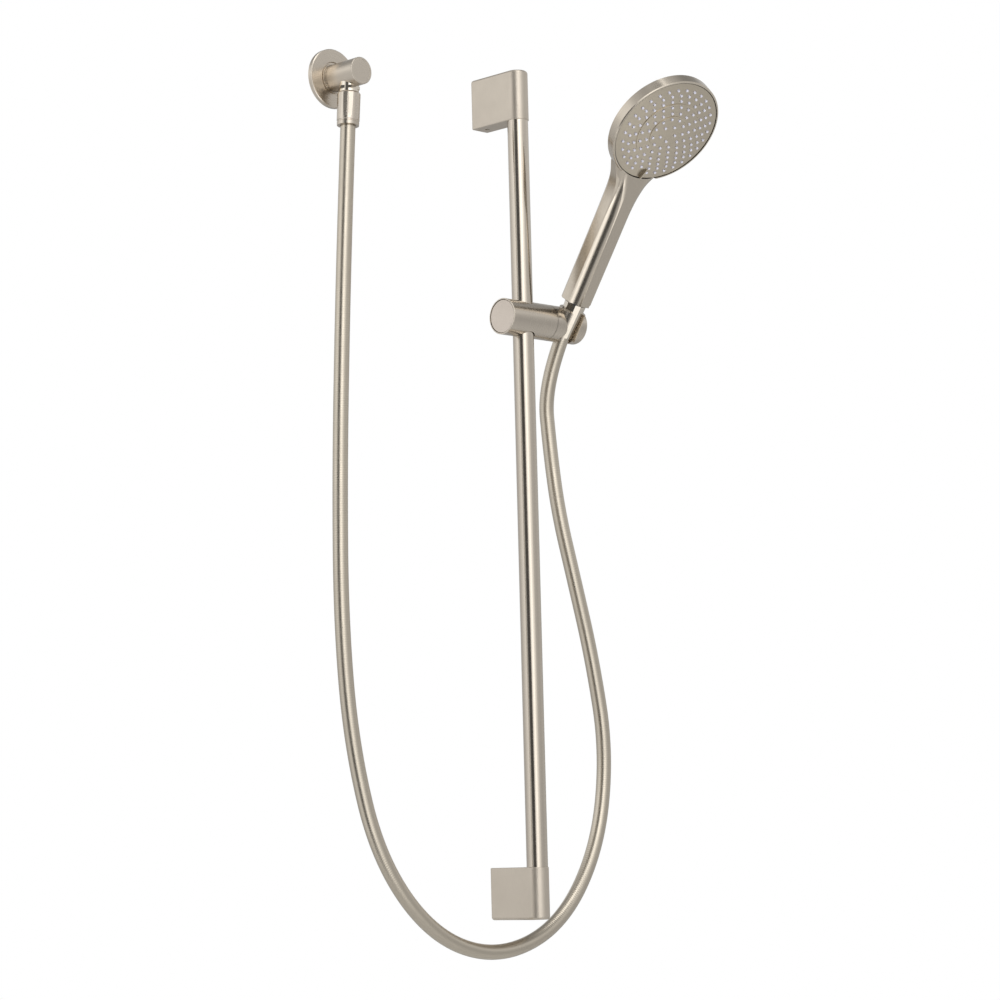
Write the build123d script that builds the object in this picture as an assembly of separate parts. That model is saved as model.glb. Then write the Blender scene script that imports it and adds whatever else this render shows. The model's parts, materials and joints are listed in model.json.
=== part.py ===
from build123d import *
import os
from math import cos, sin, tan, radians, degrees, acos, asin, hypot

os.makedirs("parts", exist_ok=True)

# Frame: the origin is the centre of the upper bracket's wall face. X runs along the wall, +Y goes
# into the wall, so everything stands at negative Y, and +Z is up. Millimetres throughout.

# ---------------------------------------------------------------- driving dimensions
RAIL_D = 22.0                 # outside of the vertical rail tube
RAIL_WALL = 1.2
RAIL_Y = -58.0                # rail axis, off the wall
BRACKET_W = 23.4              # the brackets' width, flush round the rail
BRACKET_H = 53.6
BRACKET_SPACING = 835.0       # centre to centre of the two brackets
SLIDER_Z = -238.5             # height of the slider's axis
SLIDER_D = 38.0
SLIDER_LEFT = -30.5
SLIDER_RIGHT = 33.2
HOLDER_RIGHT = 78.0
PIVOT_GAP = 0.6               # the seam between slider and holder
PRESS_TRAVEL = 2.0            # how far the release button goes in
LEAN = 33.5                   # lean of the handset from upright, in degrees
SPIN = -4.5                   # the handset's turn in its seat, in degrees
SEAT_X = 57.7                 # the seat's axis, right of the rail
SEAT_Y = RAIL_Y - 8.5         # and in front of the slider's axis
SEAT_TO_HANDLE = 25.8         # from the slider's axis up the seat to the foot of the handle
NUT_R_TOP = 11.7              # the conical hose nut
NUT_R_BOTTOM = 9.9
NUT_LENGTH = 38.5
NUT_TO_HANDLE = 0.9           # the gasket's gap between them
HANDLE_W = 31.0               # across the flats of the handle
HEAD_R = 61.5                 # outside of the head's rim
FACE_R = 58.6                 # the turning spray face inside the rim
HEAD_UP = 207.0               # centre of the face, up the handle from its foot
HEAD_FORWARD = 27.3           # and in front of the handle's axis
HEAD_TILT = 13.5              # the face looks this much below square to the handle
DOME_RISE = 5.0               # the face bulges this much at its centre
NOZZLE_RINGS = [(9.3, 5), (17.9, 11), (25.1, 15), (32.3, 19), (39.0, 23), (45.2, 27), (51.2, 30)]
HOSE_D = 15.5
HOSE_BORE = 11.4
LINER_WALL = 1.6
OUTLET_X = -211.0             # wall outlet, left of the rail
OUTLET_Z = -4.5
OUTLET_CLOCK = 4.0            # the outlet hangs this far off plumb, in degrees
FLANGE_R = 30.6
FLANGE_T = 5.5
BODY_R = 14.0                 # the outlet's round body
BODY_FRONT = -47.4
PORT_Y = -29.5                # the outlet port, off the wall

# The hose's route: the corners of its straight runs, from the wall outlet round to the handset
ROUTE = [
    (-213.6, -29.5, -41.4),
    (-219.6, -29.5, -128),
    (-229, -31, -262),
    (-237, -32, -415),
    (-240, -33, -564),
    (-230, -34, -687),
    (-197, -34, -798),
    (-126, -34, -875),
    (-35, -34, -900),
    (56, -34, -870),
    (113, -36, -791),
    (129, -38, -689),
    (109, -40, -591),
    (82, -41, -502),
    (68, -36, -437),
    (63, -31, -372),
    (57.7, -29.2, -294.9),
    (57.7, -70, -233.2),
]

RAIL_R = RAIL_D / 2
SLIDER_R = SLIDER_D / 2
WALL_TO_RAIL = -RAIL_Y
RAIL_TOP = -BRACKET_H / 2
RAIL_BOTTOM = -BRACKET_SPACING + BRACKET_H / 2
HOLDER_LEFT = SLIDER_RIGHT + PIVOT_GAP

SLIDER = Pos(0, RAIL_Y, SLIDER_Z)
SEAT = Pos(SEAT_X, SEAT_Y, SLIDER_Z) * Rot(X=LEAN)
HANDSET = SEAT * Pos(0, 0, SEAT_TO_HANDLE) * Rot(Z=SPIN)
HEAD = HANDSET * Pos(0, -HEAD_FORWARD, HEAD_UP) * Rot(X=90 + HEAD_TILT)
OUTLET = Pos(OUTLET_X, 0, OUTLET_Z) * Rot(Y=OUTLET_CLOCK)
PORT = OUTLET * Pos(0, PORT_Y, 0) * Rot(X=180)   # +Z runs down out of the port


# ---------------------------------------------------------------- small helpers
def rod(r, z0, z1):
    """A round bar along Z."""
    return Pos(0, 0, (z0 + z1) / 2) * Cylinder(r, z1 - z0)


def ring(r_out, r_in, z0, z1):
    """A round sleeve along Z."""
    return rod(r_out, z0, z1) - rod(r_in, z0 - 1, z1 + 1)


def block(x0, x1, y0, y1, z0, z1):
    """A box between two corners."""
    return Pos((x0 + x1) / 2, (y0 + y1) / 2, (z0 + z1) / 2) * Box(x1 - x0, y1 - y0, z1 - z0)


def along_x(shape):
    """Turns a shape built along Z so that it runs along X."""
    return Rot(Y=90) * shape


def along_y(shape):
    """Turns a shape built along Z so that it runs along -Y, away from the wall."""
    return Rot(X=90) * shape


def turned(points):
    """A solid of revolution about Z from its outline of radii and heights."""
    outline = Polyline(*[(r, 0, z) for r, z in points], close=True)
    return revolve(make_face(outline), Axis.Z)


def o_ring(r_mid, r_wire, z):
    """A rubber ring round Z."""
    return Pos(0, 0, z) * Torus(r_mid, r_wire)


def save(node, shape):
    """Writes one sub-part to its STEP file."""
    solids = shape.solids()
    shape = Compound(children=list(solids)) if len(solids) > 1 else solids[0]
    export_step(shape, f"parts/{node}.step")
    print(node, len(solids), "solids", round(shape.volume), "mm3")


# ---------------------------------------------------------------- rail and brackets
SPIGOT_R = 8.0                # the plug's end in the bracket
SPIGOT_LENGTH = 32.0
PLUG_LENGTH = 30.0            # the plug's end in the rail
PLUG_BORE_R = 4.0
WALL_CORNER_R = 2.2           # the brackets' corners at the wall
BRACKET_END_R = 3.0           # round their outer ends
BRACKET_EDGE_R = 1.0          # and their ends at the rail
BLOCK_W = 15.0                # the wall block in each bracket
BLOCK_H = 36.0
BLOCK_DEPTH = 24.0
BLOCK_GAP = 0.2               # room round the block
SCREW_R = 2.75                # holes for the wall screws
SCREW_HEAD_R = 5.0
SCREW_SEAT = 8.0              # the screw heads' depth off the wall
SCREW_SPACING = 20.0
GRUB_R = 2.5
GRUB_Y = -12.0
FIT = 0.02                    # radial room of parts that are pressed or glued together
UPWARD = (Align.CENTER, Align.CENTER, Align.MIN)


def rail_tube():
    """The vertical tube between the two brackets."""
    tube = ring(RAIL_R, RAIL_R - RAIL_WALL, RAIL_BOTTOM, RAIL_TOP)
    return Pos(0, RAIL_Y, 0) * tube


def rail_plug(z, direction):
    """The spigot that joins the rail to a bracket; direction is -1 where the rail hangs below."""
    in_rail = RAIL_R - RAIL_WALL - FIT
    if direction < 0:
        plug = rod(in_rail, -PLUG_LENGTH, 0) + rod(SPIGOT_R, 0, SPIGOT_LENGTH)
    else:
        plug = rod(in_rail, 0, PLUG_LENGTH) + rod(SPIGOT_R, -SPIGOT_LENGTH, 0)
    plug -= rod(PLUG_BORE_R, -SPIGOT_LENGTH - 1, SPIGOT_LENGTH + 1)
    return Pos(0, RAIL_Y, z) * plug


def bracket():
    """A block as deep as the rail stands off, its nose flush with the rail that hangs below it."""
    half = BRACKET_W / 2
    plan = Rectangle(BRACKET_W, WALL_TO_RAIL, align=(Align.CENTER, Align.MAX))
    plan += Pos(0, RAIL_Y) * Circle(half)
    body = extrude(Pos(0, 0, -BRACKET_H / 2) * plan, BRACKET_H)
    wall_corners = body.edges().filter_by(Axis.Z).group_by(Axis.Y)[-1]
    body = fillet(wall_corners, WALL_CORNER_R)
    body = fillet(body.edges().group_by(Axis.Z)[-1], BRACKET_END_R)
    body = fillet(body.edges().group_by(Axis.Z)[0], BRACKET_EDGE_R)
    pocket_x = BLOCK_W / 2 + BLOCK_GAP
    pocket_z = BLOCK_H / 2 + BLOCK_GAP
    return body - block(-pocket_x, pocket_x, -BLOCK_DEPTH - 3, 1, -pocket_z, pocket_z)


def bracket_at(z, direction):
    """One bracket with its spigot socket towards the rail and its grub screw hole below."""
    body = Pos(0, 0, z) * Rot(Y=0 if direction < 0 else 180) * bracket()
    face = z + direction * BRACKET_H / 2
    socket = rod(SPIGOT_R + FIT, face - SPIGOT_LENGTH - 1, face + SPIGOT_LENGTH + 1)
    body -= Pos(0, RAIL_Y, 0) * socket
    body -= Pos(0, GRUB_Y, z) * rod(GRUB_R, -BRACKET_H, -BLOCK_H / 2)
    return body


def wall_block(z):
    """The block screwed to the wall inside a bracket, with its two screw holes."""
    body = block(-BLOCK_W / 2, BLOCK_W / 2, -BLOCK_DEPTH, 0, z - BLOCK_H / 2, z + BLOCK_H / 2)
    for side in (-1, 1):
        hole = rod(SCREW_R, -1, BLOCK_DEPTH + 1) + rod(SCREW_HEAD_R, SCREW_SEAT, BLOCK_DEPTH + 1)
        body -= Pos(0, 0, z + side * SCREW_SPACING / 2) * along_y(hole)
    dimple = Cone(2.0, 0.4, 1.6, align=UPWARD)
    return body - Pos(0, GRUB_Y, z - BLOCK_H / 2) * dimple


def grub_screw(z):
    """The socket screw under a bracket that locks it on its wall block."""
    z0 = z - BRACKET_H / 2 + 0.8
    z1 = z - BLOCK_H / 2 - 0.1
    key_r, key_depth = 1.5, 3.0
    body = rod(GRUB_R - FIT, z0, z1) + Pos(0, 0, z1) * Cone(1.8, 0.5, 1.3, align=UPWARD)
    body -= extrude(Pos(0, 0, z0) * RegularPolygon(key_r, 6), key_depth)
    return Pos(0, GRUB_Y, 0) * body


# ---------------------------------------------------------------- wall outlet
INLET_R = 9.5                 # tapped hole for the supply pipe
INLET_DEPTH = 14.0
NECK_R = 10.0
SPIGOT_BORE = 8.0             # the port that the nipple is sealed into
THREAD_R = 10.3               # the outlet's male thread
NECK_TOP = BODY_R + 5.2       # the shoulder that the hose nut stops at
THREAD_END = NECK_TOP + 11.5
THREAD_DEPTH = 0.8
THREAD_PITCH = 2.2            # between the grooves that stand for a thread
THREAD_GROOVES = 4
WATERWAY_R = 6.0
CAP_DEPTH = 2.0               # the disc in the outlet's front


def outlet_body():
    """The round body that stands off the wall, bored for the supply and for the outlet port."""
    body = along_y(rod(BODY_R, 0, -BODY_FRONT))
    body = fillet(body.edges().filter_by(GeomType.CIRCLE).group_by(Axis.Y)[0], 0.8)
    body -= along_y(rod(INLET_R, -1, INLET_DEPTH) + rod(WATERWAY_R, 0, -BODY_FRONT - 6))
    body -= Pos(0, PORT_Y, 0) * rod(SPIGOT_BORE, -BODY_R - 3, 0)
    body -= along_y(rod(BODY_R - 2.2, -BODY_FRONT - CAP_DEPTH, -BODY_FRONT + 1))
    return OUTLET * body


def outlet_face_cap():
    """The flat disc pressed into the front of the body."""
    cap = rod(BODY_R - 2.25, -BODY_FRONT - CAP_DEPTH, -BODY_FRONT - 0.15)
    return OUTLET * along_y(cap)


def outlet_flange():
    """The round wall flange, with the shallow groove and raised collar round the body."""
    flange = turned([
        (BODY_R + 0.3, 0.0), (FLANGE_R - 1.5, 0.0), (FLANGE_R, 0.6), (FLANGE_R, FLANGE_T - 0.7),
        (FLANGE_R - 0.7, FLANGE_T), (BODY_R + 3.2, FLANGE_T), (BODY_R + 2.6, FLANGE_T - 1.2),
        (BODY_R + 1.6, FLANGE_T - 1.2), (BODY_R + 1.3, FLANGE_T + 0.5), (BODY_R + 0.3, FLANGE_T + 0.5),
    ])
    flange -= ring(FLANGE_R - 4, BODY_R + 4, -0.1, 2.4)
    return OUTLET * along_y(flange)


def flange_seal():
    """The foam ring behind the flange that keeps water off the wall."""
    return OUTLET * along_y(ring(FLANGE_R - 4.3, BODY_R + 4.3, 0.05, 2.3))


def threaded(shape, r, z):
    """Cuts the grooves that stand for a thread, up from a shoulder at height z."""
    for turn in range(1, THREAD_GROOVES + 1):
        groove = z + THREAD_PITCH * turn
        shape -= ring(r + 1, r - THREAD_DEPTH, groove, groove + THREAD_DEPTH)
    return shape


def outlet_nipple():
    """The threaded stub under the body, with the shoulder above the hose nut."""
    spigot_end = 5.0
    hexagon = extrude(Pos(0, 0, BODY_R + 0.4) * RegularPolygon(11.4, 6), 3.0)
    neck = rod(NECK_R, spigot_end, NECK_TOP) + hexagon
    neck -= along_y(rod(BODY_R + FIT, -40, 40))
    nipple = neck + rod(SPIGOT_BORE - 0.1, spigot_end, NECK_TOP) + rod(THREAD_R, NECK_TOP, THREAD_END)
    nipple = threaded(nipple, THREAD_R, NECK_TOP)
    nipple -= ring(SPIGOT_BORE + 1, SPIGOT_BORE - 1.0, BODY_R - 6.6, BODY_R - 5.4)
    valve_seat = rod(7.0, THREAD_END - 9, THREAD_END + 1)
    return PORT * (nipple - rod(WATERWAY_R, 0, THREAD_END + 1) - valve_seat)


def outlet_o_ring():
    """The ring that seals the nipple in the body."""
    return PORT * o_ring(SPIGOT_BORE - 0.52, 0.46, BODY_R - 6.0)


def check_valve_body():
    """The plastic cartridge that stops water running back."""
    z1 = THREAD_END - 0.3
    body = turned([
        (4.6, z1 - 8.4), (6.8, z1 - 8.4), (6.8, z1), (5.4, z1), (5.4, z1 - 2.0), (3.6, z1 - 2.6),
        (3.6, z1 - 4.2), (4.6, z1 - 5.2),
    ])
    return PORT * body


def check_valve_poppet():
    """The valve's little disc and stem."""
    z = THREAD_END - 7.3
    poppet = turned([(0, z), (4.4, z), (3.9, z + 1.4), (1.2, z + 1.4), (1.2, z + 5.2), (0, z + 5.2)])
    return PORT * poppet


def check_valve_spring():
    """The light spring round the poppet's stem."""
    z0 = THREAD_END - 5.7
    wire = Helix(0.9, 2.2, 2.4)
    coil = sweep(Plane(wire @ 0, z_dir=wire % 0) * Circle(0.25), path=wire)
    return PORT * Pos(0, 0, z0) * coil


# ---------------------------------------------------------------- hose and its ends
SKIN_R = HOSE_BORE / 2 + 1.0  # inside of the metal skin
LINER_R = SKIN_R - 0.1        # outside of the rubber liner
TAIL_R = LINER_R - LINER_WALL - 0.05
HOSE_HOLE_R = HOSE_D / 2 + 0.35
WASHER_T = 2.0
OUTLET_NUT_R = 11.8
OUTLET_NUT_TOP = NECK_TOP + 0.8
OUTLET_NUT_LENGTH = 34.5
OUTLET_THREAD_DEPTH = 16.2    # how far up the nut its thread and washer seat reach
HANDSET_THREAD_R = 10.02
HANDSET_THREAD_DEPTH = 18.0


def hose_nut_outlet():
    """The straight union nut at the outlet, with its grip flats, chamfered top and dark end ring."""
    r, bore = OUTLET_NUT_R, THREAD_R + FIT
    z0 = OUTLET_NUT_TOP
    z1 = z0 + OUTLET_NUT_LENGTH
    seat = z0 + OUTLET_THREAD_DEPTH
    nut = turned([
        (bore, z0), (r - 1.2, z0), (r, z0 + 1.6), (r - 0.2, z1 - 5.2), (r - 0.9, z1 - 4.6),
        (r - 0.9, z1 - 3.8), (r - 0.4, z1 - 3.2), (r - 0.6, z1), (HOSE_HOLE_R, z1),
        (HOSE_HOLE_R, seat), (bore, seat),
    ])
    flats = 12
    for side in range(flats):
        flat = Pos(r + 0.75, 0, z0 + 14) * Box(2, 4.2, 25)
        nut -= Rot(Z=360 / flats * side) * flat
    return PORT * nut


def hose_washer(place, z):
    """A flat rubber washer."""
    return place * ring(9.2, 4.4, z, z + WASHER_T)


def hose_ferrule(place, z0, z1):
    """The brass tail in the hose's end, with its flange."""
    bore, flange_r, flange_t = 3.4, 9.4, 1.8
    tail = turned([
        (bore, z0), (flange_r, z0), (flange_r, z0 + flange_t), (TAIL_R, z0 + flange_t),
        (TAIL_R, z1), (bore, z1),
    ])
    return place * tail


def smooth_path(points):
    """Straight runs joined by arcs that leave each run just short of its middle."""
    share = 0.45
    radii = []
    for a, b, c in zip(points, points[1:], points[2:]):
        run_in, run_out = Vector(b) - Vector(a), Vector(c) - Vector(b)
        cosine = run_in.dot(run_out) / (run_in.length * run_out.length)
        half_turn = acos(max(-1.0, min(1.0, cosine))) / 2
        radii.append(share * min(run_in.length, run_out.length) / tan(half_turn))
    print("bend radii", [round(r) for r in radii])
    return FilletPolyline(*points, radius=radii)


def hose_tube(path, r_out, r_in):
    """A tube swept along the hose's path."""
    start = Plane(path @ 0, z_dir=path % 0)
    outer = sweep(start * Circle(r_out), path=path)
    inner = sweep(start * Circle(r_in), path=path)
    return outer - inner


def conical_nut():
    """The conical nut that sits in the holder, with shallow flats round it; Z from the handle's foot."""
    z0 = -NUT_TO_HANDLE
    z1 = z0 - NUT_LENGTH
    seat = z0 - HANDSET_THREAD_DEPTH
    nut = turned([
        (HANDSET_THREAD_R, z0), (NUT_R_TOP - 0.5, z0), (NUT_R_TOP, z0 - 0.6),
        (NUT_R_BOTTOM, z1 + 0.6), (NUT_R_BOTTOM - 0.5, z1), (HOSE_HOLE_R, z1),
        (HOSE_HOLE_R, seat), (HANDSET_THREAD_R, seat),
    ])
    slope = degrees(asin((NUT_R_TOP - NUT_R_BOTTOM) / NUT_LENGTH))
    flats = 8
    for side in range(flats):
        flat = Pos(NUT_R_TOP + 0.62, 0, z0) * Rot(Y=slope) * Box(2, 7.0, 2 * NUT_LENGTH + 4)
        nut -= Rot(Z=360 / flats * (side + 0.5)) * flat
    return HANDSET * nut


# ---------------------------------------------------------------- slider
WALL_R = 16.0                 # the slider's bore
RAIL_HOLE_R = 12.0
BUSH_INNER_Z = 11.0           # the bushes stand clear of the plunger, above and below it
BUSH_OUTER_Z = 14.4
RAIL_GAP = 0.08               # radial room for the rail to slide
CAP_R = 17.3
CAP_GAP = 0.5                 # the dark ring round the button
CAP_FACE = SLIDER_LEFT + 0.4
PLUNGER_LEFT = CAP_FACE + 4.6
PLUNGER_RIGHT = 17.0
PLUNGER_WINDOW = 11.8         # half the window's width
PAD_LEFT = 5.5
PAD_RIGHT = 13.4
END_WALL = 22.0
AXLE_R = 5.0
AXLE_HEAD_R = 8.0
AXLE_HEAD_T = 2.0
AXLE_GRIP = 9.5               # how far the axle reaches into the holder


def slider_body():
    """The round body across the rail: bored from the button's end, with a hole for the rail."""
    body = rod(SLIDER_R, SLIDER_LEFT, SLIDER_RIGHT)
    body = fillet(body.edges().filter_by(GeomType.CIRCLE).group_by(Axis.Z)[0], 0.5)
    body -= rod(WALL_R, SLIDER_LEFT - 1, END_WALL)
    body -= rod(CAP_R + CAP_GAP, SLIDER_LEFT - 1, PLUNGER_LEFT + PRESS_TRAVEL + 0.3)
    body -= rod(AXLE_HEAD_R + 0.3, END_WALL - 1, END_WALL + AXLE_HEAD_T + 1.6)
    body -= rod(AXLE_R + 0.06, END_WALL, SLIDER_RIGHT + 1)
    body = along_x(body) - rod(RAIL_HOLE_R, -SLIDER_R - 1, SLIDER_R + 1)
    return SLIDER * body


def rail_bush(side):
    """The plastic ring in the rail hole that slides on the rail; side is 1 above and -1 below."""
    bush = ring(RAIL_HOLE_R - 0.06, RAIL_R + RAIL_GAP, BUSH_INNER_Z, BUSH_OUTER_Z)
    return SLIDER * (Rot(X=0 if side > 0 else 180) * bush)


def release_button():
    """The disc at the slider's end that is pressed to free the grip."""
    cap = rod(CAP_R, CAP_FACE, PLUNGER_LEFT)
    cap = fillet(cap.edges().filter_by(GeomType.CIRCLE).group_by(Axis.Z)[0], 0.5)
    return SLIDER * along_x(cap)


def grip_plunger():
    """The block behind the button, with the window that the rail passes through."""
    body = along_x(rod(WALL_R - 0.3, PLUNGER_LEFT, PLUNGER_RIGHT))
    body -= block(-14.5, PAD_RIGHT, -PLUNGER_WINDOW, PLUNGER_WINDOW, -WALL_R, WALL_R)
    return SLIDER * body


def grip_pad():
    """The rubber shoe in the window that the spring pulls against the rail."""
    half_w, half_h = PLUNGER_WINDOW - 0.1, 8.0
    pad = block(PAD_LEFT, PAD_RIGHT, -half_w, half_w, -half_h, half_h)
    return SLIDER * (pad - rod(RAIL_R + RAIL_GAP, -half_h - 1, half_h + 1))


def button_spring():
    """The spring that pushes the plunger and button out again."""
    wire_r, coil_r, turns = 0.6, 13.0, 2
    height = END_WALL - PLUNGER_RIGHT - 2 * wire_r - 0.1
    wire = Helix(height / turns, height, coil_r)
    coil = sweep(Plane(wire @ 0, z_dir=wire % 0) * Circle(wire_r), path=wire)
    return SLIDER * along_x(Pos(0, 0, PLUNGER_RIGHT + wire_r + 0.05) * coil)


def pivot_axle():
    """The shouldered screw that joins the holder to the slider."""
    head_left = END_WALL + 0.3
    head_right = head_left + AXLE_HEAD_T
    axle = rod(AXLE_HEAD_R, head_left, head_right) + rod(AXLE_R, head_right, HOLDER_LEFT + AXLE_GRIP)
    axle -= extrude(Pos(0, 0, END_WALL) * RegularPolygon(2.9, 6), AXLE_HEAD_T + 0.2)
    return SLIDER * along_x(axle)


def pivot_washer():
    """The spring washer under the axle's head that makes the pivot stiff."""
    left = END_WALL + AXLE_HEAD_T + 0.35
    return SLIDER * along_x(ring(AXLE_HEAD_R, AXLE_R + 0.2, left, left + 1.2))


def friction_washer():
    """The nylon washer in the seam between slider and holder."""
    return SLIDER * along_x(ring(16.4, AXLE_R + 0.2, SLIDER_RIGHT + 0.05, HOLDER_LEFT - 0.05))


# ---------------------------------------------------------------- holder
SLEEVE_R = 14.6               # the tilted sleeve round the seat
SLEEVE_HALF = 15.5
SEAT_SLOT = 17.0              # the hose goes in and out through it
SEAT_GAP = 0.07


def seat_radius(z):
    """Radius of the conical seat at a height from the slider's axis, just over the nut's."""
    down = SEAT_TO_HANDLE - NUT_TO_HANDLE - z
    return NUT_R_TOP - (NUT_R_TOP - NUT_R_BOTTOM) * down / NUT_LENGTH + SEAT_GAP


def holder_body():
    """The turning end of the slider: a sleeve slit down its front that takes the conical nut."""
    barrel = rod(SLIDER_R, HOLDER_LEFT, HOLDER_RIGHT)
    barrel = fillet(barrel.edges().filter_by(GeomType.CIRCLE).group_by(Axis.Z)[-1], 1.2)
    barrel -= rod(AXLE_R + 0.03, HOLDER_LEFT - 1, HOLDER_LEFT + AXLE_GRIP + 0.1)
    body = SLIDER * along_x(barrel) + SEAT * rod(SLEEVE_R, -SLEEVE_HALF, SLEEVE_HALF)
    z0, z1 = -24.0, 24.0
    bore = turned([(0, z0), (seat_radius(z0), z0), (seat_radius(z1), z1), (0, z1)])
    slot = block(-SEAT_SLOT / 2, SEAT_SLOT / 2, -40, 0, -40, 40)
    return body - SEAT * bore - SEAT * slot


# ---------------------------------------------------------------- handset
HANDLE_END = 128.0            # where the water duct turns off towards the head
NECK_START = 88.0             # where the handle begins to flare into the neck
HANDLE_CORNER = 0.545         # the round corners' radius, as a share of the width
CAVITY_R = 59.5               # the head's hollow behind the face
BACK_R = 36.0                 # and the narrower one behind that
RIM_H = 11.5
BACK_RISE = 10.8
NIPPLE_R = 9.9
TUBE_R = 7.6                  # the water tube in the handle
TUBE_END = 134.0


def handle_section(width):
    """The handle's outline: four broad faces with round corners."""
    return Rectangle(width, width) & Circle(width * HANDLE_CORNER)


def flute(side):
    """The long hollow between the front face and a side, dying out where the neck begins."""
    r, depth = 14.0, 3.9
    reach = HANDLE_W * HANDLE_CORNER + r - depth
    foot, neck, end = (0, -reach, -12), (0, -reach - 1.95, 100), (0, -reach - 9.3, 150)
    straight = Line(foot, neck)
    path = Wire([straight, TangentArc(neck, end, tangent=straight % 1)])
    tool = sweep(Plane(foot, z_dir=straight % 0) * Circle(r), path=path)
    return Rot(Z=-45 * side) * tool


def neck_section(z, half, front, back, run, drop, cut):
    """Four flats joined by corner arcs; an arc spans run by drop and cuts its corner off by cut."""
    outline = []
    for x, y, along_first in ((-1, front, True), (-1, back, False), (1, back, True), (1, front, False)):
        inward = 1 if y == front else -1
        flat_end = (x * (half - run), y)
        side_end = (x * half, y + inward * drop)
        middle = (x * (half - run * cut), y + inward * drop * cut)
        ends = (flat_end, middle, side_end)
        outline.append(ends if along_first else ends[::-1])
    edges = []
    for number, arc in enumerate(outline):
        edges += [ThreePointArc(*arc), Line(arc[-1], outline[(number + 1) % 4][0])]
    return Pos(0, 0, z) * make_face(edges)


def neck():
    """The blend from the handle into the head: wider and thinner as it rises."""
    half = HANDLE_W / 2
    stations = [
        (88, half, -half, half, 8.77, 8.77, 0.405), (98, half, -half, half, 8.77, 8.77, 0.405),
        (112, 15.7, -15.5, 15.4, 8.8, 8.8, 0.40), (126, 16.6, -15.4, 14.4, 9.3, 8.4, 0.38),
        (137, 19.0, -15.0, 12.4, 11.0, 7.6, 0.36), (146, 23.2, -14.6, 9.6, 14.0, 6.8, 0.34),
        (155, 29.5, -14.5, 6.0, 18.0, 6.0, 0.32), (168, 34.0, -14.0, 0.5, 22.0, 5.0, 0.31),
    ]
    return loft([neck_section(*station) for station in stations])


def head_solid():
    """The outside of the head: a round rim with a shallow domed back."""
    rim = chamfer(rod(HEAD_R, -RIM_H, 0.6).edges().group_by(Axis.Z)[-1], 0.8)
    back = Rot(X=180) * dome(HEAD_R - 0.3, BACK_RISE, RIM_H - 0.05)
    return rim + back


def handset_shell():
    """Handle and head shell in one piece, hollow, with the rim round the spray face."""
    handle = extrude(handle_section(HANDLE_W), NECK_START)
    handle = chamfer(handle.edges().group_by(Axis.Z)[0], 0.5)
    to_head = Pos(0, -HEAD_FORWARD, HEAD_UP) * Rot(X=90 + HEAD_TILT)
    shell = handle + neck() + to_head * head_solid()
    for side in (-1, 1):
        shell -= flute(side)
    shell -= to_head * rod(CAVITY_R, -10.5, 30)
    shell -= to_head * rod(BACK_R, -16.6, 0)
    shell -= rod(11.0, -1, 14) + rod(TUBE_R + 1.0, 0, TUBE_END + 2)
    duct = Pos(0, 0, HANDLE_END) * Rot(X=7.7) * rod(6.4, 0, 52)
    return HANDSET * (shell - duct)


def inlet_nipple():
    """The threaded insert in the handle's foot that the hose nut screws onto."""
    thread_end = -12.5
    nipple = rod(10.9, 0.6, 13.5) + rod(NIPPLE_R, thread_end, 0.6)
    nipple = threaded(nipple, NIPPLE_R, thread_end - 1.5)
    nipple -= rod(6.6, -14, 14) + rod(8.0, 8, 14)
    return HANDSET * nipple


def foot_gasket():
    """The thin dark gasket between the handle's foot and the hose nut."""
    return HANDSET * ring(13.2, NIPPLE_R + 0.05, 0.05 - NUT_TO_HANDLE, -0.05)


def water_tube():
    """The plastic tube that carries the water up the handle."""
    return HANDSET * ring(TUBE_R, TUBE_R - 1.8, 8.2, TUBE_END)


def tube_o_rings():
    """Two rings that seal the water tube, at the foot and at the head."""
    wire_r = 0.45
    heights = (15.2, TUBE_END - 3)
    return HANDSET * Compound(children=[o_ring(TUBE_R + 0.5, wire_r, z) for z in heights])


def filter_washer():
    """The strainer washer inside the hose nut."""
    hole_r, holes = 3.4, 6
    washer = ring(9.3, hole_r, -12.7 - WASHER_T, -12.7)
    mesh = rod(hole_r, -13.9, -13.5)
    for hole in range(holes):
        mesh -= Rot(Z=360 / holes * hole) * Pos(1.9, 0, -14) * Cylinder(0.6, 3)
    return HANDSET * (washer + mesh)


def manifold():
    """The plastic plate behind the face that shares the water between the sprays."""
    body = rod(CAVITY_R - 0.3, -10.4, -8.2) + rod(BACK_R - 0.3, -14.6, -10.4)
    body += rod(9.0, -8.2, -5.6)
    body -= ring(BACK_R + 1, BACK_R - 1.05, -13.1, -11.9)
    for port in range(3):
        body -= Rot(Z=120 * port) * Pos(0, 20, -13) * Cylinder(3.6, 8)
        body -= Rot(Z=120 * port + 60) * Pos(0, 27, -13) * Cylinder(2.4, 8)
    body -= rod(2.1, -13, -5)
    return HEAD * body


def manifold_seal():
    """The ring that seals the manifold's rear step in the head."""
    return HEAD * o_ring(BACK_R - 0.52, 0.48, -12.5)


# ---------------------------------------------------------------- spray face
FACE_T = 2.2
MAT_T = 1.6
NOTCH_R = 46.0                # how far out the finger notch starts
NOZZLE_R = 1.65               # a nozzle's foot, and its tip
NOZZLE_TIP_R = 1.3
NOZZLE_PROUD = 1.2            # how far the nozzles stand out of the face


def dome(radius, rise, z):
    """A spherical cap with a flat back at height z."""
    ball_r = (radius ** 2 + rise ** 2) / (2 * rise)
    ball = Rot(X=90) * Sphere(ball_r)
    return (Pos(0, 0, z + rise - ball_r) * ball) & rod(radius, z, z + rise + 1)


def nozzle_rings():
    """Where the nozzles stand on the face, ring by ring, each ring turned a little on."""
    rings = []
    for number, (radius, count) in enumerate(NOZZLE_RINGS):
        angles = [radians(360 * (k + 0.35 * number) / count) for k in range(count)]
        places = [(radius * cos(a), radius * sin(a)) for a in angles]
        rings.append([(x, y) for x, y in places if not in_notch(x, y)])
    return rings


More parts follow.
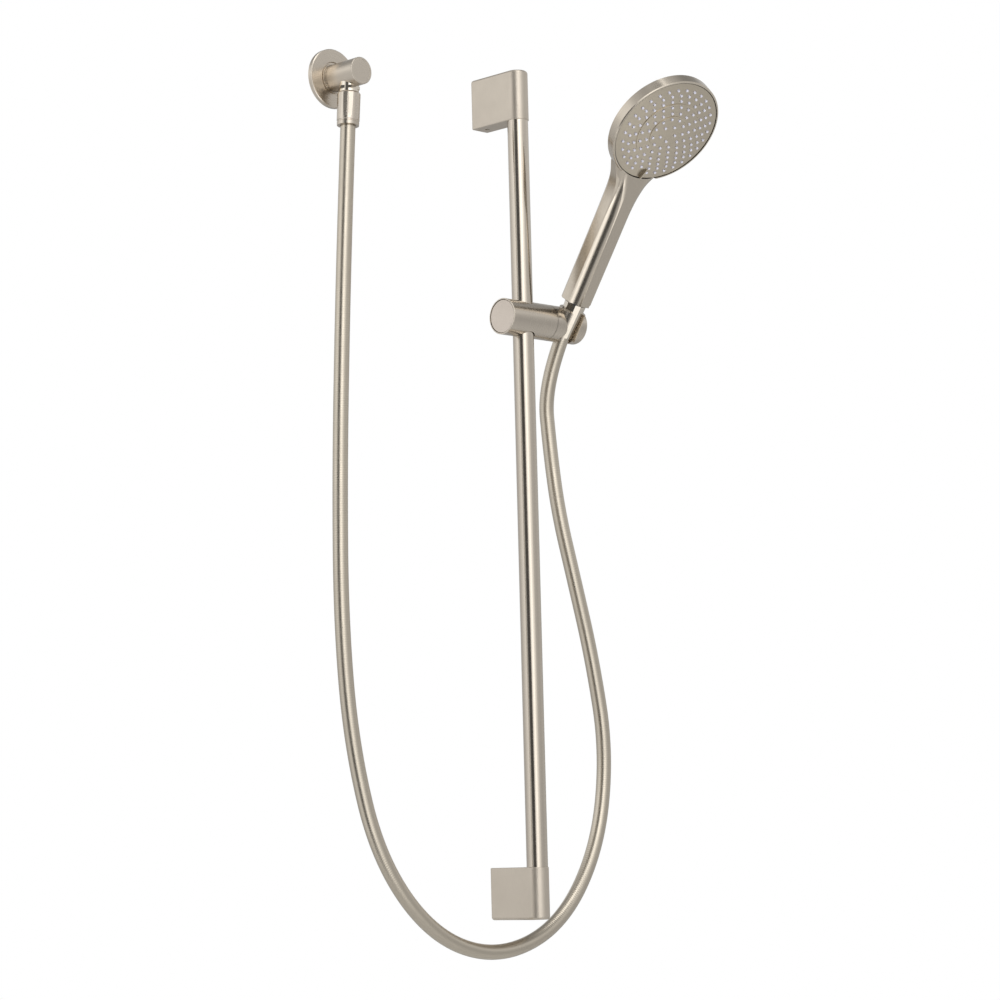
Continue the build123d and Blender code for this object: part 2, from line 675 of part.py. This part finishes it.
def in_notch(x, y):
    """True where the finger notch leaves no room for a nozzle."""
    return abs(x) < 6 and y < -NOTCH_R + 1


def crescent(radius, width):
    """A fine raised crescent on the face, widest up and to the left and fading out both ways."""
    shift = width / 2 ** 0.5
    sliver = rod(radius, 1, DOME_RISE + 4) - Pos(shift, -shift, 0) * rod(radius, 0, DOME_RISE + 5)
    return sliver & Pos(0, 0, 0.7) * dome(FACE_R, DOME_RISE, -0.01)


def finger_notch():
    """The wedge-shaped notch at the foot of the face, beside its finger rest."""
    wedge = Polyline((-6.5, -NOTCH_R - 4, 0), (3.2, -NOTCH_R, 0), (1.2, -FACE_R - 1, 0),
                     (-2.0, -FACE_R - 1, 0), close=True)
    return extrude(make_face(wedge), 8)


def face_plate():
    """The domed disc, pierced for the nozzles, that is turned to change the spray."""
    plate = rod(FACE_R, -FACE_T - 1, 0) + dome(FACE_R, DOME_RISE, -0.01)
    plate = chamfer(plate.edges().filter_by(GeomType.CIRCLE).group_by(Axis.Z)[0], 0.3)
    plate -= dome(FACE_R - 2.2, DOME_RISE, -FACE_T - 1.01)
    plate += crescent(36.0, 1.3)
    plate += crescent(21.3, 1.3)
    plate -= Pos(0, 0, -0.4) * finger_notch()
    fin = Polyline((3.4, -NOTCH_R - 0.5, 0), (4.6, -NOTCH_R - 1.5, 0), (3.0, -FACE_R + 0.2, 0),
                   (1.4, -FACE_R + 0.2, 0), close=True)
    plate += extrude(make_face(fin), 3.2)
    for places in nozzle_rings():
        plate -= [Pos(x, y, 0) * Cylinder(NOZZLE_R + 0.1, 30) for x, y in places]
    return HEAD * plate


def nozzle_mat():
    """The soft mat behind the face whose nozzles stand through the holes."""
    back = -FACE_T - 1.0
    mat = dome(FACE_R - 3.0, DOME_RISE - 0.5, back - 0.1)
    mat -= dome(FACE_R - 4.5, DOME_RISE - 0.5, back - 0.1 - MAT_T)
    mat += ring(FACE_R - 3.0, FACE_R - 5.4, back - 1.6, back + 0.1)
    for places in nozzle_rings():
        top = DOME_RISE * (1 - hypot(*places[0]) ** 2 / FACE_R ** 2) + NOZZLE_PROUD
        low = top - FACE_T - 3.2
        nozzle = Cone(NOZZLE_R, NOZZLE_TIP_R, top - low, align=UPWARD)
        mat += [Pos(x, y, low) * nozzle for x, y in places]
    return HEAD * mat


def flow_disc():
    """The ported disc that turns with the face over the manifold."""
    disc = rod(30, -7.9, -6.1) - rod(9.3, -9, -5)
    for port in range(3):
        disc -= Rot(Z=120 * port) * Pos(0, 20, -7) * Cylinder(3.2, 4)
    return HEAD * disc


def face_screw():
    """The screw in the middle of the head that the face turns on."""
    shank_r, head_r, key_r = 2.0, 3.6, 1.5
    screw = rod(shank_r, -12.5, -4.9) + rod(head_r, -5.4, -3.6)
    screw -= extrude(Pos(0, 0, -4.6) * RegularPolygon(key_r, 6), 2)
    return HEAD * screw


# ---------------------------------------------------------------- build
def main():
    save("rail_tube", rail_tube())
    for name, z, direction in (("upper", 0, -1), ("lower", -BRACKET_SPACING, 1)):
        face = z + direction * BRACKET_H / 2
        save(f"rail_plug_{name}", rail_plug(face, direction))
        save(f"bracket_{name}", bracket_at(z, direction))
        save(f"wall_block_{name}", wall_block(z))
        save(f"grub_screw_{name}", grub_screw(z))

    save("outlet_body", outlet_body())
    save("outlet_face_cap", outlet_face_cap())
    save("outlet_flange", outlet_flange())
    save("flange_seal", flange_seal())
    save("outlet_nipple", outlet_nipple())
    save("outlet_o_ring", outlet_o_ring())
    save("check_valve_body", check_valve_body())
    save("check_valve_poppet", check_valve_poppet())
    save("check_valve_spring", check_valve_spring())

    save("hose_nut_outlet", hose_nut_outlet())
    save("hose_washer_outlet", hose_washer(PORT, THREAD_END + 0.05))
    save("hose_ferrule_outlet", hose_ferrule(PORT, THREAD_END + WASHER_T + 0.1, THREAD_END + 19))
    path = smooth_path(ROUTE)
    print("hose length", round(path.length))
    save("hose", hose_tube(path, HOSE_D / 2, SKIN_R))
    save("hose_liner", hose_tube(path, LINER_R, LINER_R - LINER_WALL))
    save("hose_nut_handset", conical_nut())
    save("hose_ferrule_handset", hose_ferrule(HANDSET * Rot(X=180), 14.8, 34))

    save("slider_body", slider_body())
    save("rail_bush_upper", rail_bush(1))
    save("rail_bush_lower", rail_bush(-1))
    save("release_button", release_button())
    save("grip_plunger", grip_plunger())
    save("grip_pad", grip_pad())
    save("button_spring", button_spring())
    save("pivot_axle", pivot_axle())
    save("pivot_washer", pivot_washer())
    save("friction_washer", friction_washer())
    save("holder_body", holder_body())

    save("handset_shell", handset_shell())
    save("inlet_nipple", inlet_nipple())
    save("foot_gasket", foot_gasket())
    save("water_tube", water_tube())
    save("tube_o_rings", tube_o_rings())
    save("filter_washer", filter_washer())
    save("manifold", manifold())
    save("manifold_seal", manifold_seal())
    save("face_plate", face_plate())
    save("nozzle_mat", nozzle_mat())
    save("flow_disc", flow_disc())
    save("face_screw", face_screw())


main()
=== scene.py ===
import json
from math import radians

import bpy
import numpy as np
from mathutils import Matrix, Vector


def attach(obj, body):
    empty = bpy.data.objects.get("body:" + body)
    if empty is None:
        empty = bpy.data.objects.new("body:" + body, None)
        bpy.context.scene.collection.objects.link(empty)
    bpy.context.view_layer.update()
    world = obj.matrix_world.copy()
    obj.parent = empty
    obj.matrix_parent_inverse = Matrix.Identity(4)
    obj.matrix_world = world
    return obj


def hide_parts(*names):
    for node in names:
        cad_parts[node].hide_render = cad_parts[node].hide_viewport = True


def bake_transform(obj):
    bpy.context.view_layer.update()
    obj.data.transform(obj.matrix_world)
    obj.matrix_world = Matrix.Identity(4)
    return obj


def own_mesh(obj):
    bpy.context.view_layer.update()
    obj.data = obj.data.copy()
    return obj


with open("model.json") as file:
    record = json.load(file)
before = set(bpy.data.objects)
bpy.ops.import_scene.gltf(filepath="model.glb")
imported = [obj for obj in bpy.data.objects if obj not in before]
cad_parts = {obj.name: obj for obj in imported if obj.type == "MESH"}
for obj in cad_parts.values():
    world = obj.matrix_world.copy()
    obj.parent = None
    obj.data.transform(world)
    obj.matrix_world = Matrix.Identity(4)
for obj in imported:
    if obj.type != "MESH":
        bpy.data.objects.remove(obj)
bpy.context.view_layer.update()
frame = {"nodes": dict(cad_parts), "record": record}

# The frame is the CAD model's, in metres: the origin is the upper bracket's wall face, X runs along
# the wall, +Y goes into it and +Z is up.

scene = bpy.context.scene

# ---------------------------------------------------------------- sizes and places
RAIL_AXIS = Vector((0, -0.058, 0))
SLIDER_CENTRE = Vector((0, -0.058, -0.2385))
OUTLET_CENTRE = Vector((-0.211, 0, -0.0045))
OUTLET_NUT_CENTRE = Vector((-0.2125, -0.0295, 0))
LEAN = radians(33.5)          # of the handset's seat
SEAT_AXIS = Matrix.Rotation(LEAN, 3, "X") @ Vector((0, 0, 1))
FACE_TILT = radians(13.5)
FACE_AXIS = Matrix.Rotation(LEAN + radians(90) + FACE_TILT, 3, "X") @ Vector((0, 0, 1))

# The hose's skin is a wound metal strip, with one groove round it for each turn
HOSE_R = 0.00775
HOSE_PITCH = 0.0024
HOSE_GROOVE = 0.00013
RINGS_PER_TURN = 6
RING_POINTS = 28

# The heights at which the hose is cut into stretches: on its left leg, on its right leg and just
# under the holder
DROP_END_Z = -0.720
RISE_START_Z = -0.420
TAIL_START_Z = -0.286

# The hose's route: the same corners as the CAD tube's
ROUTE = [
    (-0.2136, -0.0295, -0.0414),
    (-0.2196, -0.0295, -0.128),
    (-0.229, -0.031, -0.262),
    (-0.237, -0.032, -0.415),
    (-0.240, -0.033, -0.564),
    (-0.230, -0.034, -0.687),
    (-0.197, -0.034, -0.798),
    (-0.126, -0.034, -0.875),
    (-0.035, -0.034, -0.900),
    (0.056, -0.034, -0.870),
    (0.113, -0.036, -0.791),
    (0.129, -0.038, -0.689),
    (0.109, -0.040, -0.591),
    (0.082, -0.041, -0.502),
    (0.068, -0.036, -0.437),
    (0.063, -0.031, -0.372),
    (0.0577, -0.0292, -0.2949),
    (0.0577, -0.070, -0.2332),
]

# The viewpoint: left of the rail, at the height of its lower end and looking a little up
CAMERA_PLACE = Vector((-2.2455, -2.2941, -0.8034))
CAMERA_RIGHT = Vector((0.7140, -0.7000, -0.0252))
CAMERA_FORWARD = Vector((0.6973, 0.7071, 0.1175))
CAMERA_LENS = 110.475         # in millimetres, like the sensor
CAMERA_SENSOR = 36.0
CAMERA_REACH = 50.0

# The studio that the metal mirrors, soft boxes with dark gaps between them: brightness by degrees to
# the right of the direction towards the camera, and by height from 0, straight down, to 1, straight up
WALL_LEVELS = [
    (-180, 0.24), (-125, 0.32), (-104, 0.38), (-92, 0.46), (-80, 0.50), (-66, 0.58), (-50, 0.42),
    (-36, 0.05), (-12, 0.04), (2, 0.80), (16, 1.0), (34, 0.62), (55, 0.34), (80, 0.30), (118, 0.33),
    (180, 0.24),
]
HEIGHT_LEVELS = [
    (0.0, 0.8), (0.09, 1.3), (0.125, 0.82), (0.20, 0.80), (0.42, 0.72), (0.56, 0.85), (0.66, 1.15),
    (0.76, 1.0), (0.84, 0.55), (0.93, 0.45), (1.0, 0.8),
]
STUDIO_STRENGTH = 2.3

FLOOR_RADIUS = 1.1
FLOOR_Z = -1.62
FLOOR_SIDES = 128

# Marks on the finishes, and the painted edge highlight. The counts are noise cells for each metre.
BRUSH_ACROSS = 5200           # across the brushed lines
BRUSH_ALONG = 120             # along straight lines
BRUSH_ROUND = 260             # along lines left by turning, measured at TURNING_R
TURNING_R = 0.004
BRUSH_CONTRAST = 0.06         # how much lighter than the metal the brushed lines get
BRUSH_DEPTH = 0.00006
CLOUD = 38.0                  # slow changes over a whole part
EDGE_REACH = 0.0007           # how far from an edge the painted edge highlight reaches
# how much lighter the painted edge highlight makes the metal
EDGE_HIGHLIGHT_GAIN = 1.3
WIPE_MARKS = 120.0
SPARK_GRAIN = 1600.0          # on moulded parts


# ---------------------------------------------------------------- materials
class Nodes:
    """Short names for adding and joining the nodes of one tree."""

    def __init__(self, tree):
        self.tree = tree

    def add(self, kind, **settings):
        node = self.tree.nodes.new(kind)
        for key, value in settings.items():
            setattr(node, key, value)
        return node

    def feed(self, value, socket):
        """Links another node's output into a socket, or sets the socket to a plain value."""
        if isinstance(value, bpy.types.NodeSocket):
            self.tree.links.new(value, socket)
        else:
            socket.default_value = value

    def math(self, operation, a, b=0.0):
        node = self.add("ShaderNodeMath", operation=operation)
        self.feed(a, node.inputs[0])
        self.feed(b, node.inputs[1])
        return node.outputs[0]

    def dot(self, a, b):
        node = self.add("ShaderNodeVectorMath", operation="DOT_PRODUCT")
        self.feed(a, node.inputs[0])
        self.feed(b, node.inputs[1])
        return node.outputs["Value"]

    def ramp(self, value, stops):
        """A soft curve of brightness over a value from 0 to 1."""
        node = self.add("ShaderNodeValToRGB")
        node.color_ramp.interpolation = "EASE"
        elements = node.color_ramp.elements
        while len(elements) < len(stops):
            elements.new(0.5)
        for element, (place, level) in zip(elements, stops):
            element.position = place
            element.color = (level, level, level, 1)
        self.feed(value, node.inputs[0])
        return node.outputs[0]


class Graph(Nodes):
    """One material's nodes, with the patterns that the finishes share."""

    def __init__(self, name):
        self.material = bpy.data.materials.new(name)
        self.material.use_nodes = True
        super().__init__(self.material.node_tree)
        self.shader = self.tree.nodes["Principled BSDF"]

    def finish(self, **values):
        """Sets the shader's inputs, each to a plain value or to another node's output."""
        for key, value in values.items():
            self.feed(value, self.shader.inputs[key.replace("_", " ")])

    def turned_to(self, axis, centre=(0, 0, 0)):
        """Object coordinates about a centre, turned so that the axis is their Z."""
        shift = self.add("ShaderNodeVectorMath", operation="SUBTRACT")
        self.feed(self.add("ShaderNodeTexCoord").outputs["Object"], shift.inputs[0])
        self.feed(centre, shift.inputs[1])
        turn = self.add("ShaderNodeMapping")
        to_z = Vector(axis).rotation_difference(Vector((0, 0, 1)))
        self.feed(to_z.to_euler(), turn.inputs["Rotation"])
        self.feed(shift.outputs[0], turn.inputs["Vector"])
        return turn.outputs[0]

    def scaled(self, vector, scale):
        node = self.add("ShaderNodeMapping")
        self.feed(scale, node.inputs["Scale"])
        self.feed(vector, node.inputs["Vector"])
        return node.outputs[0]

    def around(self, vector):
        """Radius, arc at TURNING_R and height about Z, for marks left by turning."""
        parts = self.add("ShaderNodeSeparateXYZ")
        self.feed(vector, parts.inputs[0])
        x, y, z = parts.outputs
        squares = self.math("ADD", self.math("MULTIPLY", x, x), self.math("MULTIPLY", y, y))
        joined = self.add("ShaderNodeCombineXYZ")
        self.feed(self.math("SQRT", squares), joined.inputs[0])
        self.feed(self.math("MULTIPLY", self.math("ARCTAN2", y, x), TURNING_R), joined.inputs[1])
        self.feed(z, joined.inputs[2])
        return joined.outputs[0]

    def noise(self, vector, scale, detail=4.0, rough=0.55):
        node = self.add("ShaderNodeTexNoise")
        self.feed(scale, node.inputs["Scale"])
        self.feed(detail, node.inputs["Detail"])
        self.feed(rough, node.inputs["Roughness"])
        self.feed(vector, node.inputs["Vector"])
        return node.outputs["Fac"]

    def spread(self, value, low, high, to_low, to_high):
        node = self.add("ShaderNodeMapRange")
        for socket, number in zip(node.inputs[1:5], (low, high, to_low, to_high)):
            self.feed(number, socket)
        self.feed(value, node.inputs[0])
        return node.outputs[0]

    def mix(self, factor, a, b):
        """One colour over another: each is a tuple or another node's output."""
        node = self.add("ShaderNodeMix", data_type="RGBA")
        self.feed(factor, node.inputs[0])
        for socket, colour in ((node.inputs[6], a), (node.inputs[7], b)):
            self.feed((*colour, 1) if isinstance(colour, tuple) else colour, socket)
        return node.outputs[2]

    def bump(self, height, strength, distance):
        node = self.add("ShaderNodeBump")
        self.feed(strength, node.inputs["Strength"])
        self.feed(distance, node.inputs["Distance"])
        self.feed(height, node.inputs["Height"])
        self.finish(Normal=node.outputs[0])

    def edges(self):
        """1 on edges and 0 a little way from them: the mask of a painted highlight, lighter colour
        standing in for light caught by rounded edges.
        """
        bevel = self.add("ShaderNodeBevel", samples=4)
        self.feed(EDGE_REACH, bevel.inputs["Radius"])
        normal = self.add("ShaderNodeNewGeometry").outputs["Normal"]
        return self.spread(self.dot(bevel.outputs[0], normal), 0.86, 0.99, 1.0, 0.0)


def shade(colour, gain):
    """A colour made darker or lighter, and never above white."""
    return tuple(min(1.0, c * gain) for c in colour)


def metal(name, colour, rough, axis=(0, 0, 1), centre=(0, 0, 0), turned=False, grain=1.0):
    """Brushed metal. The grain runs along the axis, or round it where the part was turned."""
    graph = Graph(name)
    place = graph.turned_to(axis, centre)
    if turned:
        lines = graph.scaled(graph.around(place), (BRUSH_ACROSS, BRUSH_ROUND, BRUSH_ACROSS))
    else:
        lines = graph.scaled(place, (BRUSH_ACROSS, BRUSH_ACROSS, BRUSH_ALONG))
    fine = graph.noise(lines, 1.0, detail=3.0, rough=0.7)
    cloud = graph.noise(place, CLOUD, detail=3.0)
    darker = shade(colour, 1 - 1.2 * BRUSH_CONTRAST)
    lighter = shade(colour, 1 + BRUSH_CONTRAST)
    base = graph.mix(graph.spread(fine, 0.3, 0.7, 0.0, 1.0), darker, lighter)
    base = graph.mix(graph.spread(cloud, 0.35, 0.7, 0.0, 0.35), base, darker)
    # painted highlight: the colour is lighter along every edge, standing in for light caught by rounded
    # edges
    base = graph.mix(graph.edges(), base, shade(colour, EDGE_HIGHLIGHT_GAIN))
    streaks = graph.spread(fine, 0.25, 0.75, rough * 0.82, rough * 1.2)
    hazy = graph.spread(cloud, 0.3, 0.7, -0.03, 0.04)
    graph.bump(fine, strength=0.22 * grain, distance=BRUSH_DEPTH)
    graph.finish(Base_Color=base, Roughness=graph.math("ADD", streaks, hazy), Metallic=1.0)
    return graph.material


def bright_metal(name, colour, rough):
    """Polished plate with faint wipe marks."""
    graph = Graph(name)
    place = graph.turned_to((0, 0, 1))
    wipes = graph.noise(place, WIPE_MARKS, detail=5.0)
    graph.bump(graph.noise(place, 900.0, detail=2.0), strength=0.05, distance=0.0001)
    graph.finish(Base_Color=graph.mix(wipes, shade(colour, 0.93), colour),
                 Roughness=graph.spread(wipes, 0.3, 0.75, rough, rough + 0.10), Metallic=1.0)
    return graph.material


def soft_plastic(name, colour, rough, depth=0.25):
    """Moulded plastic or rubber with a fine spark-eroded grain."""
    graph = Graph(name)
    place = graph.turned_to((0, 0, 1))
    speckle = graph.noise(place, SPARK_GRAIN, detail=2.0)
    cloud = graph.noise(place, 60.0, detail=3.0)
    graph.bump(speckle, strength=depth, distance=0.00012)
    graph.finish(Base_Color=graph.mix(cloud, shade(colour, 0.86), shade(colour, 1.06)),
                 Roughness=graph.spread(speckle, 0.3, 0.7, rough - 0.07, rough + 0.08))
    return graph.material


def floor_paint():
    graph = Graph("floor_paint")
    cloud = graph.noise(graph.turned_to((0, 0, 1)), 3.0)
    graph.finish(Base_Color=graph.mix(cloud, (0.90, 0.90, 0.90), (0.94, 0.94, 0.93)), Roughness=0.7)
    return graph.material


NICKEL = (0.600, 0.540, 0.462)
CAP_NICKEL = (0.66, 0.59, 0.52)
HANDSET_NICKEL = (0.590, 0.530, 0.448)
FACE_NICKEL = (0.560, 0.500, 0.405)
HOSE_NICKEL = (0.560, 0.505, 0.420)
BRIGHT_NICKEL = (0.70, 0.64, 0.55)

MATERIALS = {
    "rail": metal("rail_nickel", NICKEL, 0.15, centre=RAIL_AXIS, turned=True, grain=0.5),
    "bracket": metal("bracket_nickel", NICKEL, 0.42, grain=1.2),
    "outlet": metal("outlet_nickel", NICKEL, 0.28, axis=(0, 1, 0), centre=OUTLET_CENTRE, turned=True),
    "outlet_nut": metal("nut_nickel", NICKEL, 0.25, centre=OUTLET_NUT_CENTRE, turned=True),
    "slider": metal("slider_nickel", NICKEL, 0.25, axis=(1, 0, 0), centre=SLIDER_CENTRE, turned=True,
                    grain=0.3),
    "cap": metal("cap_nickel", CAP_NICKEL, 0.42, grain=1.3),
    "handset": metal("handset_nickel", HANDSET_NICKEL, 0.20, axis=SEAT_AXIS, grain=0.5),
    "face": metal("face_nickel", FACE_NICKEL, 0.33, axis=FACE_AXIS, grain=0.6),
    "hose": metal("hose_strip", HOSE_NICKEL, 0.30, grain=0.6),
    "bright": bright_metal("bright_nickel", BRIGHT_NICKEL, 0.05),
    "nozzle": soft_plastic("nozzle_silicone", (0.84, 0.83, 0.94), 0.38, depth=0.15),
    "black": soft_plastic("black_rubber", (0.030, 0.034, 0.048), 0.55),
    "white": soft_plastic("natural_nylon", (0.74, 0.73, 0.69), 0.40),
    "grey": soft_plastic("grey_acetal", (0.16, 0.165, 0.17), 0.42),
    "brass": metal("turned_brass", (0.72, 0.52, 0.24), 0.25, turned=True),
    "steel": metal("spring_steel", (0.52, 0.52, 0.53), 0.25),
    "zinc": metal("cast_zinc", (0.50, 0.50, 0.51), 0.5, grain=1.6),
}

SLOT_MATERIAL = {
    "brushed_nickel": "handset", "nickel_face": "face", "bright_nickel": "bright", "hose_skin": "hose",
    "nozzle_rubber": "nozzle", "dark_rubber": "black", "white_plastic": "white", "grey_plastic": "grey",
    "brass": "brass", "spring_steel": "steel", "cast_zinc": "zinc",
}

NODE_MATERIAL = {
    "rail_tube": "rail", "bracket_upper": "bracket", "bracket_lower": "bracket", "outlet_body": "outlet",
    "outlet_flange": "outlet", "outlet_face_cap": "outlet", "hose_nut_outlet": "outlet_nut",
    "slider_body": "slider", "holder_body": "slider", "release_button": "cap",
}


def finish_nodes():
    """Gives every CAD node its finish, by its own name or by its slot in the record."""
    for part in frame["record"]["subparts"]:
        node = frame["nodes"][part["node"]]
        key = NODE_MATERIAL.get(part["node"], SLOT_MATERIAL[part["material_slot"]])
        node.data.materials.clear()
        node.data.materials.append(MATERIALS[key])


# ---------------------------------------------------------------- pieces
def piece_of(name, data):
    """A new object in the scene."""
    piece = bpy.data.objects.new(name, data)
    scene.collection.objects.link(piece)
    return piece


def button_coil():
    """The button's spring again, as a piece of its own carried by the slider, in place of the CAD spring.
    """
    coil = piece_of("button_coil", frame["nodes"]["button_spring"].data.copy())
    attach(coil, "slider")
    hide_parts("button_spring")
    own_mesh(coil)


def route_line():
    """The hose's centreline, evenly spaced, from one smooth curve over its route."""
    curve = bpy.data.curves.new("hose_route", "CURVE")
    curve.dimensions = "3D"
    curve.resolution_u = 120
    spline = curve.splines.new("NURBS")
    spline.points.add(len(ROUTE) - 1)
    for point, place in zip(spline.points, ROUTE):
        point.co = (*place, 1)
    spline.order_u = 3
    spline.use_endpoint_u = True
    holder = bpy.data.objects.new("hose_route", curve)
    mesh = bpy.data.meshes.new_from_object(holder)
    points = np.array([v.co for v in mesh.vertices])
    bpy.data.objects.remove(holder)
    bpy.data.meshes.remove(mesh)
    along = np.concatenate([[0], np.cumsum(np.linalg.norm(np.diff(points, axis=0), axis=1))])
    steps = int(along[-1] / HOSE_PITCH * RINGS_PER_TURN)
    even = np.linspace(0, along[-1], steps + 1)
    return np.stack([np.interp(even, along, points[:, k]) for k in range(3)], axis=1), even


def cross_frames(line):
    """Two vectors square to the line at each of its points, carried along without twist."""
    tangents = np.gradient(line, axis=0)
    tangents /= np.linalg.norm(tangents, axis=1)[:, None]
    side = np.cross(tangents[0], (0, 1, 0))
    sides = []
    for tangent in tangents:
        side = side - tangent * (side @ tangent)
        side /= np.linalg.norm(side)
        sides.append(side)
    sides = np.array(sides)
    return sides, np.cross(tangents, sides)


def tube(name, line, along, sides, others):
    """A closed tube of wound strip: its radius dips into a groove once per turn of the strip."""
    angles = np.linspace(0, 2 * np.pi, RING_POINTS, endpoint=False)
    turn = (along[:, None] / HOSE_PITCH - angles / (2 * np.pi)) % 1
    radius = HOSE_R - HOSE_GROOVE * np.abs(2 * turn - 1) ** 3
    out = np.cos(angles)[None, :, None] * sides[:, None] + np.sin(angles)[None, :, None] * others[:, None]
    rings = line[:, None] + radius[..., None] * out
    index = np.arange(len(line) * RING_POINTS).reshape(len(line), RING_POINTS)
    following = np.roll(index, -1, axis=1)
    walls = np.stack([index[:-1], following[:-1], following[1:], index[1:]], axis=-1).reshape(-1, 4)
    faces = walls.tolist() + [index[0][::-1].tolist(), index[-1].tolist()]
    mesh = bpy.data.meshes.new(name)
    mesh.from_pydata(rings.reshape(-1, 3).tolist(), [], faces)
    mesh.polygons.foreach_set("use_smooth", [True] * len(mesh.polygons))
    mesh.materials.append(MATERIALS["hose"])
    mesh.update()
    return piece_of(name, mesh)


def first_below(line, z):
    """The first point of the line that lies below a height."""
    return int(np.argmax(line[:, 2] < z))


def last_below(line, z):
    """The last point of the line that lies below a height."""
    return len(line) - 1 - int(np.argmax(line[::-1, 2] < z))


def hose():
    """The hose in four stretches, cut at set heights, in place of the CAD hose and its liner."""
    line, along = route_line()
    sides, others = cross_frames(line)
    drop_end = first_below(line, DROP_END_Z)
    rise_start = last_below(line, RISE_START_Z)
    tail_start = last_below(line, TAIL_START_Z)
    cuts = [0, drop_end, rise_start, tail_start, len(line) - 1]
    stretches = []
    for name, start, end in zip(("hose_drop", "hose_loop", "hose_rise", "hose_tail"), cuts, cuts[1:]):
        part = slice(start, end + 1)
        stretches.append(tube(name, line[part], along[part], sides[part], others[part]))
    drop, loop, rise, tail = stretches
    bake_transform(drop)
    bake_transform(loop)
    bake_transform(rise)
    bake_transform(tail)
    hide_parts("hose", "hose_liner")


# ---------------------------------------------------------------- studio
def studio_world(to_camera, to_right):
    """White to the camera's eye, and soft boxes with dark gaps between them for the metal to mirror."""
    world = bpy.data.worlds.new("studio")
    scene.world = world
    world.use_nodes = True
    nodes = Nodes(world.node_tree)
    direction = nodes.add("ShaderNodeTexCoord").outputs["Generated"]
    bearing = nodes.math("ARCTAN2", nodes.dot(direction, to_right), nodes.dot(direction, to_camera))
    turn = nodes.math("ADD", nodes.math("DIVIDE", bearing, 2 * np.pi), 0.5)
    walls = nodes.ramp(turn, [(degree / 360 + 0.5, level) for degree, level in WALL_LEVELS])
    height = nodes.math("ADD", nodes.math("MULTIPLY", nodes.dot(direction, (0, 0, 1)), 0.5), 0.5)
    heights = nodes.ramp(height, HEIGHT_LEVELS)
    level = nodes.math("MULTIPLY", nodes.math("MULTIPLY", walls, heights), STUDIO_STRENGTH)
    seen = nodes.add("ShaderNodeLightPath").outputs["Is Camera Ray"]
    background = nodes.tree.nodes["Background"]
    nodes.feed((1, 1, 1, 1), background.inputs["Color"])
    nodes.feed(nodes.math("MAXIMUM", level, seen), background.inputs["Strength"])


def area_light(name, place, target, size, watts):
    light = bpy.data.lights.new(name, "AREA")
    light.shape = "DISK"
    light.size = size
    light.energy = watts
    lamp = piece_of(name, light)
    lamp.location = place
    lamp.rotation_mode = "QUATERNION"
    lamp.rotation_quaternion = (Vector(target) - Vector(place)).to_track_quat("-Z", "Y")


def floor():
    """A plain pale disc, under the lowest place that the hose's loop reaches."""
    angles = np.linspace(0, 2 * np.pi, FLOOR_SIDES, endpoint=False)
    corners = [(FLOOR_RADIUS * np.cos(a), FLOOR_RADIUS * np.sin(a), FLOOR_Z) for a in angles]
    mesh = bpy.data.meshes.new("studio_floor")
    mesh.from_pydata(corners, [], [list(range(FLOOR_SIDES))])
    mesh.materials.append(floor_paint())
    piece_of("studio_floor", mesh)


def camera():
    """Sets up the camera, and gives the level directions towards it and to its right."""
    right = CAMERA_RIGHT.normalized()
    forward = CAMERA_FORWARD.normalized()
    right = (right - right.dot(forward) * forward).normalized()
    up = right.cross(forward)
    data = bpy.data.cameras.new("camera")
    data.sensor_width = CAMERA_SENSOR
    data.lens = CAMERA_LENS
    data.clip_end = CAMERA_REACH
    viewer = piece_of("camera", data)
    columns = Matrix((right, up, -forward)).transposed()
    viewer.matrix_world = Matrix.Translation(CAMERA_PLACE) @ columns.to_4x4()
    scene.camera = viewer
    level = Vector((-forward.x, -forward.y, 0)).normalized()
    return level, Vector((-level.y, level.x, 0))


scene.view_settings.view_transform = "Standard"
finish_nodes()
button_coil()
hose()
to_camera, to_right = camera()
studio_world(to_camera, to_right)
area_light("overhead", (-0.6, -1.4, 2.2), (0, 0, -0.5), 2.0, 14.0)
floor()
